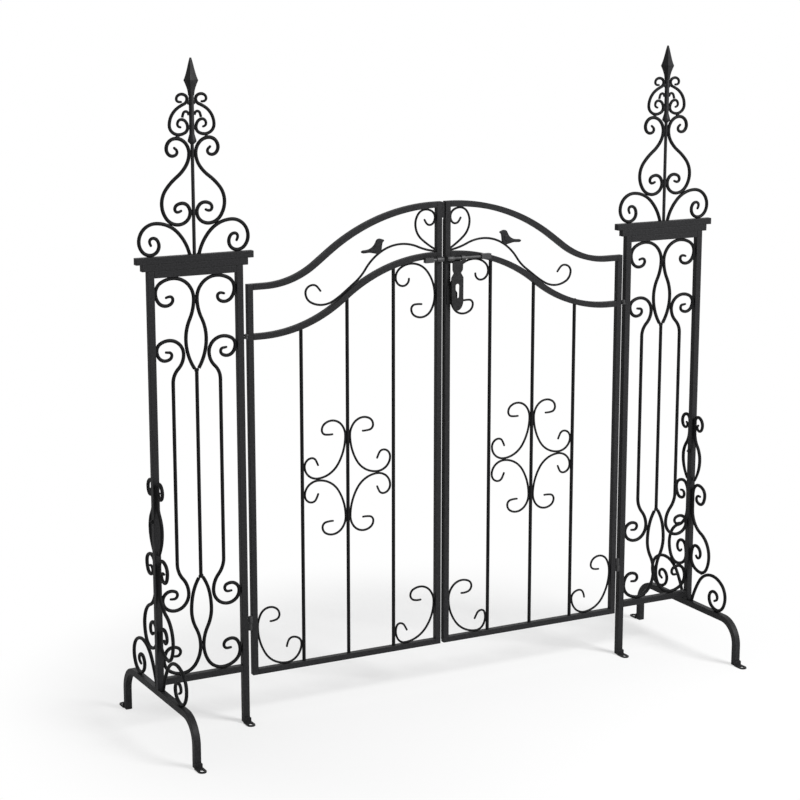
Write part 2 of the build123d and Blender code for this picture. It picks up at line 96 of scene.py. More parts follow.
def black_paint(name, dark, pale, shine, grain):
    """Black powder coat: fine orange peel, small pits, and patches that are a little duller."""
    material = bpy.data.materials.new(name)
    material.use_nodes = True
    tree = material.node_tree
    tree.nodes.clear()
    place = Shade.node(tree, "ShaderNodeTexCoord", output=3)

    def noise(scale, detail):
        return Shade.node(tree, "ShaderNodeTexNoise",
                          inputs={"Vector": place, "Scale": scale, "Detail": detail})

    patches = noise(22.0, 2.0)
    hammer = noise(210.0, 1.0)
    peel = noise(620.0, 2.0)
    colour = Shade.node(tree, "ShaderNodeMix", {"data_type": "RGBA"},
                        {0: (hammer * 0.6 + peel * 0.4 - 0.35) * 3.2,
                         6: (dark, dark, dark * 1.05, 1.0), 7: (pale, pale, pale * 1.07, 1.0)}, output=2)
    roughness = 0.34 + 0.16 * patches + 0.12 * peel
    bump = Shade.node(tree, "ShaderNodeBump", inputs={"Strength": grain, "Distance": 0.0009,
                                                      "Height": hammer * 0.7 + peel * 0.3})
    shader = Shade.node(tree, "ShaderNodeBsdfPrincipled",
                        inputs={"Base Color": colour, "Roughness": roughness, "Normal": bump,
                                "Specular IOR Level": shine, "Metallic": 0.0})
    Shade.node(tree, "ShaderNodeOutputMaterial", inputs={"Surface": shader})
    return material


paint = black_paint("black_powder_coat", 0.0085, 0.019, 0.12, 0.25)


def coat(piece, body, finish=paint):
    """Paints a piece of this scene and hangs it on its body."""
    piece.data.materials.clear()
    piece.data.materials.append(finish)
    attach(piece, body)
    return piece


def round_edges(piece, edge, steps=3):
    """Rounds the sharp edges of a piece."""
    bevel = piece.modifiers.new("edge", "BEVEL")
    bevel.width = edge
    bevel.segments = steps
    bevel.limit_method = "ANGLE"
    bevel.angle_limit = math.radians(40)
    bevel.harden_normals = True


def soften(node, edge, steps=3, finish=paint):
    """Paints a node of the frame, joins its doubled corners and rounds its sharp edges."""
    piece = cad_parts[node]
    piece.data.materials.clear()
    piece.data.materials.append(finish)
    weld = piece.modifiers.new("weld", "WELD")
    weld.merge_threshold = 0.00002
    round_edges(piece, edge, steps)


MM = 0.001
SIDES = (("left", -1), ("right", 1))
TUBE_EDGE = 1.2 * MM
for side, hand in SIDES:
    for name in ("outer_post", "top_rail", "bottom_rail", "cap_lower_slab", "cap_upper_slab"):
        soften(f"{side}_{name}", TUBE_EDGE)


# Legs of the columns: the inner posts, and the arched foot under each outer post.
# The same tube; each leg ends in a small angle of flat steel that is welded to its face. One side of the
# angle lies flat on the ground, with a rounded end and a long hole for an anchor.
POST = 19.0
OUTER_POST_X = 900.0
INNER_POST_X = 640.0
POST_TOP_Z = 1323.0
FOOT_Y = 260.0
FOOT_BAR_Z = 132.5
FOOT_BEND = 70.0
TAB_REACH = 40.0
TAB_WIDTH = 24.0
TAB_PLATE = 4.2
TAB_HOLE = 11.5
TAB_HOLE_LENGTH = 17.5
TAB_RIM = 6.0
TAB_UPSTAND = 17.0
TAB_CORNER = 3.0


def ring_points(across, up, radius, first, last, steps, rise=None):
    """Points on an arc in degrees; rise stretches it to half an ellipse."""
    turns = [math.radians(first + (last - first) * i / steps) for i in range(steps + 1)]
    return [(across + radius * math.cos(turn), up + (rise or radius) * math.sin(turn)) for turn in turns]


def cut_plate(name, body, outlines, thickness, place, round_edge=0.5, bends=False, replaced=()):
    """A plate cut to the first outline and holed along the others, in millimetres on the plane of place."""
    data = bpy.data.curves.new(name, "CURVE")
    data.dimensions = "2D"
    data.fill_mode = "BOTH"
    data.bevel_depth = round_edge * MM
    data.bevel_resolution = 3
    data.offset = -round_edge * MM
    data.extrude = (thickness / 2 - round_edge) * MM
    data.resolution_u = 6
    for outline in outlines:
        spline = data.splines.new("BEZIER" if bends else "POLY")
        spline.use_cyclic_u = True
        if bends:
            spline.bezier_points.add(len(outline) - 1)
            for knot, (u, v) in zip(spline.bezier_points, outline):
                knot.co = (u * MM, v * MM, 0)
                knot.handle_left_type = knot.handle_right_type = "AUTO"
        else:
            spline.points.add(len(outline) - 1)
            for knot, (u, v) in zip(spline.points, outline):
                knot.co = (u * MM, v * MM, 0, 1)
    piece = bpy.data.objects.new(name, data)
    piece.matrix_world = place
    bpy.context.scene.collection.objects.link(piece)
    coat(piece, body)
    if replaced:
        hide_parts(*replaced)


def finished(mesh, name, body, finish=paint):
    """A painted piece of the scene, made of a mesh."""
    data = bpy.data.meshes.new(name)
    mesh.to_mesh(data)
    mesh.free()
    piece = bpy.data.objects.new(name, data)
    bpy.context.scene.collection.objects.link(piece)
    return coat(piece, body, finish)


def front_plane(y, z=0.0, across=1):
    """A plane that faces the front: across and up of an outline, and y of the middle of its thickness."""
    return Matrix(((across, 0, 0, 0), (0, 0, -1, y * MM), (0, 1, 0, z * MM), (0, 0, 0, 1)))


def square_tube(name, body, line, width, edge, replaced):
    """Square tube along points of a plane that stands front to rear, with its long edges rounded."""
    mesh = bmesh.new()
    rings = []
    for i, point in enumerate(line):
        ahead = (line[min(i + 1, len(line) - 1)] - line[max(i - 1, 0)]).normalized()
        rise = ahead.cross(Vector((1, 0, 0)))
        half = width / 2 * MM
        rings.append([mesh.verts.new(point + Vector((a * half, 0, 0)) + rise * (b * half))
                      for a, b in ((-1, -1), (1, -1), (1, 1), (-1, 1))])
    for ring, after in zip(rings, rings[1:]):
        for i in range(4):
            mesh.faces.new((ring[i], ring[(i + 1) % 4], after[(i + 1) % 4], after[i])).smooth = True
    mesh.faces.new(list(reversed(rings[0])))
    mesh.faces.new(rings[-1])
    bmesh.ops.recalc_face_normals(mesh, faces=mesh.faces[:])
    piece = finished(mesh, name, body)
    round_edges(piece, edge)
    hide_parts(replaced)


def foot_angle(name, x, leg_face, facing):
    """The small angle at the end of a leg: facing is -1 where it points to the front."""
    half, middle = TAB_WIDTH / 2, TAB_PLATE / 2
    flat = Matrix(((1, 0, 0, x * MM), (0, facing, 0, leg_face * MM), (0, 0, 1, middle * MM), (0, 0, 0, 1)))
    sole = [(half, 0)] + ring_points(0, TAB_REACH - half, half, 0, 180, 16) + [(-half, 0)]
    far = TAB_REACH - TAB_RIM - TAB_HOLE / 2
    hole = ring_points(0, far, TAB_HOLE / 2, 0, 180, 10)
    hole += ring_points(0, far - TAB_HOLE_LENGTH + TAB_HOLE, TAB_HOLE / 2, 180, 360, 10)
    cut_plate(f"{name}_sole", "columns", [sole, hole], TAB_PLATE, flat)
    upright = Matrix.Translation((x * MM, 0, 0)) @ front_plane(leg_face + facing * middle)
    edge, top = half - 0.5, TAB_UPSTAND
    stand = [(edge, 0.5), (edge, top - TAB_CORNER), (edge - TAB_CORNER, top), (TAB_CORNER - edge, top),
             (-edge, top - TAB_CORNER), (-edge, 0.5)]
    cut_plate(f"{name}_upstand", "columns", [stand], TAB_PLATE, upright)


for side, hand in SIDES:
    x = hand * INNER_POST_X
    leg = [Vector((x, 0, 0)) * MM, Vector((x, 0, POST_TOP_Z)) * MM]
    square_tube(f"{side}_inner_leg", "columns", leg, POST, TUBE_EDGE, f"{side}_inner_post")
    foot_angle(f"{side}_inner_tab", x, -POST / 2, -1)
    x = hand * OUTER_POST_X
    bend = ring_points(FOOT_Y - FOOT_BEND, FOOT_BAR_Z - FOOT_BEND, FOOT_BEND, 0, 90, 20)
    half_line = [(FOOT_Y, 0)] + bend
    line = [Vector((x, -y, z)) * MM for y, z in half_line]
    line += [Vector((x, y, z)) * MM for y, z in reversed(half_line)]
    square_tube(f"{side}_foot", "columns", line, POST, TUBE_EDGE, f"{side}_foot_arch")
    for facing, place in ((-1, "front"), (1, "rear")):
        foot_angle(f"{side}_{place}_tab", x, facing * (FOOT_Y + POST / 2), facing)


# Column infill: side bars and lens-shaped scroll pairs.
# Round bar of 9.5 mm, bent cold around a jig into tangent curves; each curled end is drawn down a little to a
# rounded tip, and the bars are welded wherever they touch.
ROD = 9.5
COLUMN_X = (OUTER_POST_X + INNER_POST_X) / 2
POST_TOUCH = -(OUTER_POST_X - COLUMN_X - POST / 2 - ROD / 2)
TOP_TOUCH_Z = 1313.5 - POST / 2 - ROD / 2
BOTTOM_TOUCH_Z = 163.0 + POST / 2 + ROD / 2
ROD_GAP = ROD + 0.3


def turned(degrees):
    return Vector((math.cos(math.radians(degrees)), math.sin(math.radians(degrees))))


def arc_points(start, leave, end, step):
    """Points along the arc that leaves start in a direction and ends at a point, without its first point."""
    chord = end - start
    angle = 2 * math.atan2(leave.x * chord.y - leave.y * chord.x, leave.dot(chord))
    if abs(angle) < 0.002:
        pieces = max(1, round(chord.length / (3 * step)))
        return [start + chord * (i / pieces) for i in range(1, pieces + 1)]
    radius = chord.length / (2 * math.sin(abs(angle) / 2))
    inward = Vector((-leave.y, leave.x)) * math.copysign(1, angle)
    centre = start + inward * radius
    pieces = max(2, math.ceil(radius * abs(angle) / step), math.ceil(abs(angle) / math.radians(9)))
    spoke = start - centre
    points = []
    for i in range(1, pieces + 1):
        turn = angle * i / pieces
        points.append(centre + Vector((spoke.x * math.cos(turn) - spoke.y * math.sin(turn),
                                       spoke.x * math.sin(turn) + spoke.y * math.cos(turn))))
    return points


def bent_line(knots, step=4.0):
    """Points along tangent arcs through (across, up, heading) knots."""
    line = [Vector(knots[0][:2])]
    for (u0, v0, h0), (u1, v1, h1) in zip(knots, knots[1:]):
        a, b = Vector((u0, v0)), Vector((u1, v1))
        leave, arrive = turned(h0), turned(h1)
        chord, both = b - a, leave + arrive
        spread = 2 * (1 - leave.dot(arrive))
        if spread < 1e-9:
            reach = chord.dot(chord) / (4 * chord.dot(leave))
        else:
            reach = (math.sqrt(chord.dot(both) ** 2 + spread * chord.dot(chord)) - chord.dot(both)) / spread
        first, second = a + leave * reach, b - arrive * reach
        middle = (first + second) / 2
        line += arc_points(a, leave, middle, step)
        line += arc_points(middle, (second - first).normalized(), b, step)
    return line


def mirrored(knots, hand):
    """Knots are given for the left hand side; +1 turns them over to the right."""
    if hand < 0:
        return knots
    return [(-u, v, 180 - turn) for u, v, turn in knots]


def flat_place(x):
    """Puts (across, up) into the plane of the gate, with across counted from x."""
    return lambda u, v: Vector(((x + u) * MM, 0.0, v * MM))


def side_place(x):
    """Puts (across, up) into the plane that runs front to rear through x."""
    return lambda u, v: Vector((x * MM, u * MM, v * MM))


COAT = 0.35
TIP_LENGTH = 75.0
TIP_SHARE = 0.66
WAVE_HEIGHT = 0.012
WAVE_LENGTH = 23.0
chance = random.Random(11)
# The round bars and wires get a darker, less shiny copy of the coat: its darker colour is painted shade, for
# the shade on their round sides.
bar_paint_with_painted_shade = black_paint("black_powder_coat_with_painted_shade_on_round_bar", 0.004, 0.009, 0.07, 0.1)
END_TIP, BOTH_TIPS, NO_TIPS = (False, True), (True, True), (False, False)


def scroll_bars(name, body, bars, replaced=()):
    """One object of bent round bars: (points, diameter, drawn ends, smallest share of the diameter)."""
    data = bpy.data.curves.new(name, "CURVE")
    data.dimensions = "3D"
    data.bevel_depth = MM
    data.bevel_resolution = 4
    data.use_fill_caps = True
    for points, diameter, drawn, smallest in bars:
        run = [0.0]
        for a, b in zip(points, points[1:]):
            run.append(run[-1] + (b - a).length / MM)
        spline = data.splines.new("POLY")
        spline.points.add(len(points) - 1)
        sway = chance.uniform(0, 6.28)
        for i, (point, at) in enumerate(zip(points, run)):
            share = 1.0
            for is_drawn, to_end in zip(drawn, (at, run[-1] - at)):
                if is_drawn and to_end < TIP_LENGTH:
                    ease = to_end / TIP_LENGTH
                    share *= smallest + (1 - smallest) * ease * (2 - ease)
                    rounding = diameter * smallest / 2
                    if to_end < rounding:
                        share *= math.sqrt(max(0.0, 1 - (1 - to_end / rounding) ** 2)) * 0.85 + 0.15
            share *= 1 + WAVE_HEIGHT * math.sin(at / WAVE_LENGTH + sway)
            spline.points[i].co = (*point, 1.0)
            spline.points[i].radius = diameter / 2 * share + COAT
    piece = bpy.data.objects.new(name, data)
    bpy.context.scene.collection.objects.link(piece)
    # The bars take the darker copy of the coat, whose darker colour is painted shade.
    coat(piece, body, bar_paint_with_painted_shade)
    if replaced:
        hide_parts(*replaced)


def placed(knots, place, drawn=BOTH_TIPS):
    """Points of a bar in the gate, closer together where its rounded tips need them."""
    line = bent_line(knots)
    for end, is_drawn in ((0, drawn[0]), (-1, drawn[1])):
        if is_drawn:
            tip, beside = line[end], line[1 if end == 0 else -2]
            near = [tip.lerp(beside, share) for share in (0.12, 0.3, 0.55)]
            if end == 0:
                line[1:1] = near
            else:
                line[-1:-1] = reversed(near)
    return [place(*point) for point in line]


def weld_beads(name, body, spots, size=4.2):
    """Small uneven lumps of weld, one at each (place, direction of the seam)."""
    mesh = bmesh.new()
    for place, along in spots:
        lump = bmesh.ops.create_icosphere(mesh, subdivisions=2, radius=1.0)["verts"]
        swell = size * chance.uniform(0.85, 1.2) * MM
        stretch = Matrix.Diagonal((1.5, 0.8, 0.85)).to_4x4()
        turn = along.to_track_quat("X", "Z").to_matrix().to_4x4()
        for vert in lump:
            vert.co *= 1 + chance.uniform(-0.06, 0.06)
        bmesh.ops.transform(mesh, matrix=Matrix.Translation(place) @ turn @ stretch @ Matrix.Scale(swell, 4),
                            verts=lump)
    for face in mesh.faces:
        face.smooth = True
    finished(mesh, name, body)


UPPER_LENS_SCROLL = [
    (-ROD_GAP / 2 - 1.5, 1046.0, 122), (-30, 1128, 90), (-ROD_GAP / 2, 1240, 90), (-64, TOP_TOUCH_Z, 180),
    (POST_TOUCH, 1261, 270), (-86, 1225, 360), (-65.5, 1241.5, 450), (-74.5, 1250, 540), (-88, 1246.5, 560),
]
LOWER_LENS_SCROLL = [
    (-ROD_GAP / 2 - 1.5, 449.0, 238), (-30, 356, 270), (-ROD_GAP / 2, 250, 270), (-62, BOTTOM_TOUCH_Z, 180),
    (POST_TOUCH, 221, 90), (-89, 257.5, 0), (-66, 241, -90), (-77, 230, -180), (-90.5, 231, -185),
]
SIDE_BAR = [
    (-95, 398.5, -5), (-82, 397.5, 0), (-71.5, 408.5, 90), (-90.5, 421.5, 180), (POST_TOUCH, 396, 270),
    (-80, 363, 360), (-37.5, 407, 450), (-70, 497, 450), (-70, 1010, 450), (-37.5, 1088, 450),
    (-80, 1129.5, 540), (POST_TOUCH, 1103, 630), (-91, 1074, 720), (-72, 1088, 810), (-80, 1096.5, 900),
    (-92, 1097.5, 905),
]
SIDE_TIP_SHARE = 0.62
POST_SEAM = OUTER_POST_X - COLUMN_X - POST / 2 - 1
POST_SEAMS_Z = (1261, 1103, 396, 221)
UP = Vector((0, 0, 1))
ALONG = Vector((1, 0, 0))
for side, hand in SIDES:
    column = flat_place(hand * COLUMN_X)
    lens, bars, seams = [], [], []
    for half in (-1, 1):
        for knots in (UPPER_LENS_SCROLL, LOWER_LENS_SCROLL):
            lens.append((placed(mirrored(knots, half), column, END_TIP), ROD, END_TIP, TIP_SHARE))
        bars.append((placed(mirrored(SIDE_BAR, half), column), ROD, BOTH_TIPS, SIDE_TIP_SHARE))
        for v in POST_SEAMS_Z:
            seams.append((column(-POST_SEAM, v), UP))
        seams.append((column(half * 64, 1303), ALONG))
        seams.append((column(half * 62, 173.5), ALONG))
    for v in (1240, 250):
        seams.append((column(0, v), UP))
    for v in (1042, 453):
        seams.append((column(-4, v), UP))
        seams.append((column(4, v), UP))
    scroll_bars(f"{side}_lens_bars", "columns", lens, [f"{side}_lens_scrolls"])
    scroll_bars(f"{side}_side_scroll_bars", "columns", bars, [f"{side}_side_bars"])
    weld_beads(f"{side}_infill_welds", "columns", seams)
    rod = [column(0, 449.0), column(0, 1046.0)]
    scroll_bars(f"{side}_middle_bar", "columns", [(rod, ROD, NO_TIPS, 1.0)], [f"{side}_middle_rod"])


# Brackets on the front and the rear of each outer post.
# The same 9.5 mm round bar, in three scrolls stacked from the foot up, welded to the post and each other.
FACE_TOUCH = -(POST + ROD) / 2
FOOT_TOUCH_Z = FOOT_BAR_Z + (POST + ROD) / 2
BRACKETS = [
    ([(-19, 533, 125), (-44, 604, 90), (FACE_TOUCH, 690, 90), (-31, 740, 180), (-53, 717, 270),
      (-37, 697, 360), (-26, 707, 450), (-34, 715, 530)], BOTH_TIPS),
    ([(-55, 489.5, -5), (-44, 490, 0), (-33, 479, -90), (-52, 465, -180), (-76, 497, -270), (-42, 524, -360),
      (FACE_TOUCH, 490, -450), (FACE_TOUCH, 440, -450), (-106.7, 305, -450), (-64, 246, -360),
      (FACE_TOUCH, 285, -270), (-38, 327, -180), (-62, 304, -90), (-49, 289, 0), (-38, 298, 60)], BOTH_TIPS),
    ([(-22, FOOT_BAR_Z + POST / 2 - 2, 108), (-128, 251.5, 180), (-197, 195, 270), (-155, FOOT_TOUCH_Z, 360),
      (-115, 180, 450), (-138, 203, 540), (-157, 187, 630), (-140, 172, 690)], END_TIP),
]
for side, hand in SIDES:
    for place, facing in (("front", -1), ("rear", 1)):
        plane = side_place(hand * OUTER_POST_X)
        bars = [(placed(mirrored(knots, facing), plane, drawn), ROD, drawn, TIP_SHARE)
                for knots, drawn in BRACKETS]
        scroll_bars(f"{side}_{place}_bracket_scrolls", "columns", bars, [f"{side}_{place}_bracket"])
        seams = [(plane(facing * 10.5, v), UP) for v in (690, 538, 487, 445, 285)]
        seams += [(plane(facing * 155, FOOT_BAR_Z + POST / 2), Vector((0, 1, 0))),
                  (plane(facing * 21, FOOT_BAR_Z + POST / 2), Vector((0, 1, 0))),
                  (plane(facing * 70, 243), Vector((0, 1, 0)))]
        weld_beads(f"{side}_{place}_bracket_welds", "columns", seams)


# A carriage bolt through each outer post, half way up.
# M6, with its low domed head on one side, nut and thread end on the other, painted over with the rest.
POST_BOLT_Z = 628.0
NUT = [(0, 5.8), (4.6, 5.8), (5.2, 5.2), (5.2, 3.1), (8.2, 3.1), (8.9, 2.5)]
DOMED_HEAD = [(0, 6.5), (1.2, 6.5), (2.6, 5.6), (3.6, 3.3)]
SUNK = 0.3


def turn_on_lathe(mesh, profile, centre, facing, corners, smooth, hollow=False):
    """Turns a profile of (along, radius) round an axis that points to the left or the right of a centre."""
    loops = []
    for along, radius in profile:
        spokes = [math.tau * i / corners for i in range(corners)]
        loops.append([mesh.verts.new((centre + Vector((facing * along, radius * math.cos(spoke),
                                                       radius * math.sin(spoke)))) * MM) for spoke in spokes])
    for low, high in zip(loops, loops[1:] + (loops[:1] if hollow else [])):
        for i in range(corners):
            after = (i + 1) % corners
            mesh.faces.new((low[i], low[after], high[after], high[i])).smooth = smooth
    if not hollow:
        mesh.faces.new(loops[-1])
        mesh.faces.new(loops[0])
    bmesh.ops.recalc_face_normals(mesh, faces=mesh.faces[:])


for side, hand in SIDES:
    mesh = bmesh.new()
    for facing, profile, corners in ((-1, NUT, 6), (1, DOMED_HEAD, 20)):
        seat = Vector((hand * OUTER_POST_X + facing * (POST / 2 - SUNK), 0, POST_BOLT_Z))
        turn_on_lathe(mesh, profile, seat, facing, corners, facing > 0)
    finished(mesh, f"{side}_post_bolt", "columns")


# Finial of each column: three scroll pairs, each smaller than the one below, on either side of the spear.
# Round bar like the infill, welded to the cap, to the spear's rod and to each other where they touch.
CAP_TOP_Z = 1361.0
FAN_SCROLL = [
    (-13.5, CAP_TOP_Z - 1, 103), (-111, 1450.5, 180), (-159.3, 1402.5, 270),
    (-126.7, CAP_TOP_Z + ROD / 2, 360), (-101.9, 1390, 450), (-118.8, 1411.6, 540), (-128.6, 1402.5, 630),
    (-123.9, 1388.8, 650),
]
HEART_SCROLL = [
    (-33, 1482, 205), (-46, 1477.5, 180), (-54, 1486, 90), (-33, 1501, 0), (-ROD_GAP, 1475, -90),
    (-44, 1443.5, -180), (-91.3, 1500.9, -270), (-46, 1572.5, -323), (-ROD_GAP, 1634.6, -270),
    (-48, 1675.1, -180), (-74.8, 1648.4, -90), (-57, 1628.5, 0), (-44, 1639, 90), (-54, 1652.5, 130),
]
CROWN_SCROLL = [
    (-30, 1704.6, 190), (-41.3, 1713, 90), (-30.3, 1725, 0), (-12, 1703.5, -90), (-37, 1684.7, -180),
    (-64.5, 1710, -270), (-38.6, 1756.6, -327), (-12.5, 1779, -270), (-28.3, 1792, -180),
    (-42.9, 1779.5, -90), (-27, 1772, 15),
]
CROWN_LOOP = [(-27, 1730, 80), (-16.5, 1746, 0), (-8, 1736, -80)]
CROWN_ROD, LOOP_ROD = 8.4, 6.8
for side, hand in SIDES:
    column = flat_place(hand * COLUMN_X)
    bars, seams = [], []
    for half in (-1, 1):
        for knots, diameter, drawn in ((FAN_SCROLL, ROD, END_TIP), (HEART_SCROLL, ROD, BOTH_TIPS),
                                       (CROWN_SCROLL, CROWN_ROD, BOTH_TIPS),
                                       (CROWN_LOOP, LOOP_ROD, NO_TIPS)):
            bars.append((placed(mirrored(knots, half), column, drawn), diameter, drawn, TIP_SHARE))
        for u, v in ((7.5, 1475), (7.5, 1634), (9, 1703), (9, 1770), (13.5, 1362), (127, 1362)):
            seams.append((column(half * u, v), UP if u < 13 else ALONG))
        seams.append((column(half * 66, 1448), Vector((half * 0.8, 0, 0.6))))
        seams.append((column(half * 42, 1679), Vector((half, 0, 0))))
    scroll_bars(f"{side}_finial_bars", "columns", bars, [f"{side}_finial_scrolls"])
    weld_beads(f"{side}_finial_welds", "columns", seams)


# Spear on each column: a rod from the cap with a cast knob, a thicker shaft and a four-sided head.
# Cast steel, so the head's four faces are slightly hollow, its ridges are blunt and its point is rounded.
for side, hand in SIDES:
    soften(f"{side}_spear", 0.9 * MM)


# Frame of each leaf: two stiles, a bottom rail and two ogee rails that follow the same arch.
# Square tube of 17 mm, the rails bent to shape before they are welded between the stiles.
for side, hand in SIDES:
    for name in ("hinge_stile", "meeting_stile", "bottom_rail", "upper_arch_rail", "lower_arch_rail"):
        soften(f"{side}_leaf_{name}", 1.0 * MM)


# Upright bars of each leaf: three lengths of 9.5 mm round bar between the bottom rail and the lower arch.
# Cut to length and welded at both ends; each stands in a small lump of weld.
LEAF_BARS_X = (160.4, 308.6, 453.5)
LEAF_BAR_TOPS_Z = (1287.0, 1222.0, 1146.0)
LEAF_BAR_FOOT_Z = 154.5
for side, hand in SIDES:
    plane = flat_place(0)
    bars = [([plane(hand * x, LEAF_BAR_FOOT_Z), plane(hand * x, top)], ROD, NO_TIPS, 1.0)
            for x, top in zip(LEAF_BARS_X, LEAF_BAR_TOPS_Z)]
    scroll_bars(f"{side}_leaf_round_bars", f"{side}_leaf", bars, [f"{side}_leaf_bars"])
    feet = [(plane(hand * x, LEAF_BAR_FOOT_Z), ALONG) for x in LEAF_BARS_X]
    weld_beads(f"{side}_leaf_bar_welds", f"{side}_leaf", feet, 3.4)


# Wire scrolls of each leaf: a rosette on the middle bar, curls in the lower corners, a curl below the
# latch, and the vine with its crown curl between the two arch rails.
# Round wire of about 6 mm, bent by hand on a scroll iron and tacked where it touches.
WIRE = 5.8
WIRE_TIP_SHARE = 0.9
MEETING_STILE_X = 14.0
HINGE_STILE_X = 609.5
FRAME = 17.0
LEAF_BOTTOM_Z = 146.0
STILE_TOUCH = -(MEETING_STILE_X + FRAME / 2 + WIRE / 2)
HINGE_STILE_TOUCH = -(HINGE_STILE_X - FRAME / 2 - WIRE / 2)
FLOOR_TOUCH = LEAF_BOTTOM_Z + (FRAME + WIRE) / 2


def bar_touch(index, side):
    """Where a wire touches an upright bar: side is +1 towards the meeting stile."""
    return -LEAF_BARS_X[index] + side * (ROD + WIRE) / 2


LOWER_CROWN_Z = 1309.3
VINE = [
    (STILE_TOUCH - 1, LOWER_CROWN_Z + 11.8, 172), (-135, 1348, 180), (-250, 1283, 236), (-318, 1221.9, 217),
    (-386, 1192, 180), (-438, 1230, 90), (-415, 1250.5, 0), (-390, 1230, -55),
]
CROWN_CURL = [
    (STILE_TOUCH - 1, LOWER_CROWN_Z + 17.8, 150), (-89, 1402, 90), (-56, 1442.4, 0), (STILE_TOUCH, 1418, -90),
    (-42, 1397, -180), (-60.5, 1415, -245),
]
LATCH_CURL = [
    (-110, 1249, -80), (-128.6, 1226.5, -180), (bar_touch(0, 1), 1252, -270), (-117, 1288, -348),
    (STILE_TOUCH, 1192, -450), (-70, 1131, -540), (-102, 1157, -630), (-66, 1169, -730),
]
LEFT_CORNER_CURL = [
    (-561, 289, -5), (-530, 305, 90), (-560, 331, 180), (HINGE_STILE_TOUCH, 277, 270),
    (-508, FLOOR_TOUCH, 360), (bar_touch(2, -1), 208, 450), (-488, 231, 540), (-508, 203, 625),
]
RIGHT_CORNER_CURL = [
    (-67, 282, 190), (-104, 300, 90), (-72, 322, 0), (STILE_TOUCH, 270, -90), (-122, FLOOR_TOUCH, -180),
    (bar_touch(0, 1), 195, -270), (-139, 218.5, -360), (-115, 193, -425),
]
ROSETTE_Z = {"left": 688.0, "right": 678.0}    # set one by one, so not quite level
ROSETTE_HALF_WIDTH = LEAF_BARS_X[2] - LEAF_BARS_X[1] - (ROD + WIRE) / 2
ROSETTE_CURL = [
    (-46, 128, 185), (-82, 143, 90), (-51, 168, 0), (-(ROD + WIRE) / 2, 120, -90),
    (-96, (WIRE + 0.3) / 2, -180), (-ROSETTE_HALF_WIDTH, 42, -270), (-115, 65, -360), (-94, 40, -430),
]
for side, hand in SIDES:
    leaf = flat_place(0)
    body = f"{side}_leaf"
    corners = [(placed(mirrored(knots, hand), leaf), WIRE, BOTH_TIPS, WIRE_TIP_SHARE)
               for knots in (LEFT_CORNER_CURL, RIGHT_CORNER_CURL, LATCH_CURL)]
    scroll_bars(f"{side}_leaf_corner_wires", body, corners, [f"{side}_leaf_corner_scrolls"])
    arch = [(placed(mirrored(knots, hand), leaf, END_TIP), WIRE, END_TIP, WIRE_TIP_SHARE)
            for knots in (VINE, CROWN_CURL)]
    scroll_bars(f"{side}_leaf_arch_wires", body, arch, [f"{side}_leaf_arch_scrolls"])
    middle = hand * LEAF_BARS_X[1]
    quarters = []
    for half in (-1, 1):
        for up in (1, -1):
            knots = mirrored([(u, v * up, turn * up) for u, v, turn in ROSETTE_CURL], half)
            line = [Vector((x + middle * MM, y, z + ROSETTE_Z[side] * MM))
                    for x, y, z in placed(knots, flat_place(0))]
            quarters.append((line, WIRE, BOTH_TIPS, WIRE_TIP_SHARE))
    scroll_bars(f"{side}_leaf_rosette_wires", body, quarters, [f"{side}_leaf_rosette"])


# Birds that sit on the vine.
# Small flat castings, rounded all round, with a wing that stands out a little on both faces; brazed on.
BIRD = [
    (-263, 1333.2), (-260, 1336.6), (-249, 1338), (-238, 1340), (-225, 1347.5), (-218, 1357), (-214, 1364.5),
    (-206, 1368), (-198, 1366.5), (-190.5, 1362), (-195, 1356.5), (-197.5, 1345), (-200, 1333), (-210, 1325),
    (-222, 1326.5), (-238, 1329.5), (-249, 1329), (-260, 1329.8),
]
WING = [(-236, 1335), (-224, 1342), (-214, 1353), (-207, 1352), (-205, 1342), (-211, 1334), (-224, 1332)]
for side, hand in SIDES:
    facing = front_plane(0, across=-hand)
    cut_plate(f"{side}_bird_casting", f"{side}_leaf", [BIRD], 7.0, facing, 1.9, True,
              [f"{side}_leaf_bird"])
    cut_plate(f"{side}_bird_wing", f"{side}_leaf", [WING], 10.0, facing, 2.0, True)


# Strips in the gap between the meeting stiles, of flat bar that is welded on.
# A short wide one near the top of the left leaf's stile, which the right leaf shuts against, and a long
# thin one along the rear edge of the right leaf's stile.
MEETING_EDGE_X = MEETING_STILE_X - FRAME / 2
STOP_REACH, CLOSING_REACH = 9.7, 1.1
STOP_LOW_Z, STOP_HIGH_Z = 1416.0, 1461.0
CLOSING_TOP_Z = 1410.0
IN_STILE = 0.5


def strip(name, body, inner, outer, low, high, depth, middle):
    """Flat bar that stands upright between two values across and two values up."""
    cut_plate(name, body, [[(inner, low), (outer, low), (outer, high), (inner, high)]], depth,
              front_plane(middle), 0.3)


strip("stop_strip", "left_leaf", -MEETING_EDGE_X - IN_STILE, -MEETING_EDGE_X + STOP_REACH,
      STOP_LOW_Z, STOP_HIGH_Z, 9.0, 0.0)
strip("closing_strip", "right_leaf", MEETING_EDGE_X - CLOSING_REACH, MEETING_EDGE_X + IN_STILE,
      LEAF_BOTTOM_Z, CLOSING_TOP_Z, 5.0, 5.4)


# Hinges of the leaves, and the bolt with its guides.
# Turned pins and barrels on the hinges, and a round bolt that slides in sleeves of thick tube; all of them
# are glossier, and their coat is a little paler, which is painted highlight.
# A paler, glossier copy of the powder coat: the paler colour is painted highlight, the gloss is the coat's
# own.
glossy_paint_with_painted_highlight = black_paint("black_powder_coat_glossy_with_painted_highlight", 0.011, 0.021, 0.45, 0.12)
for name in ("left_hinge_pins", "left_hinge_barrels", "right_hinge_pins", "right_hinge_barrels",
             "latch_keeper", "bolt_guides", "bolt"):
    soften(name, 0.5 * MM, 2, glossy_paint_with_painted_highlight)


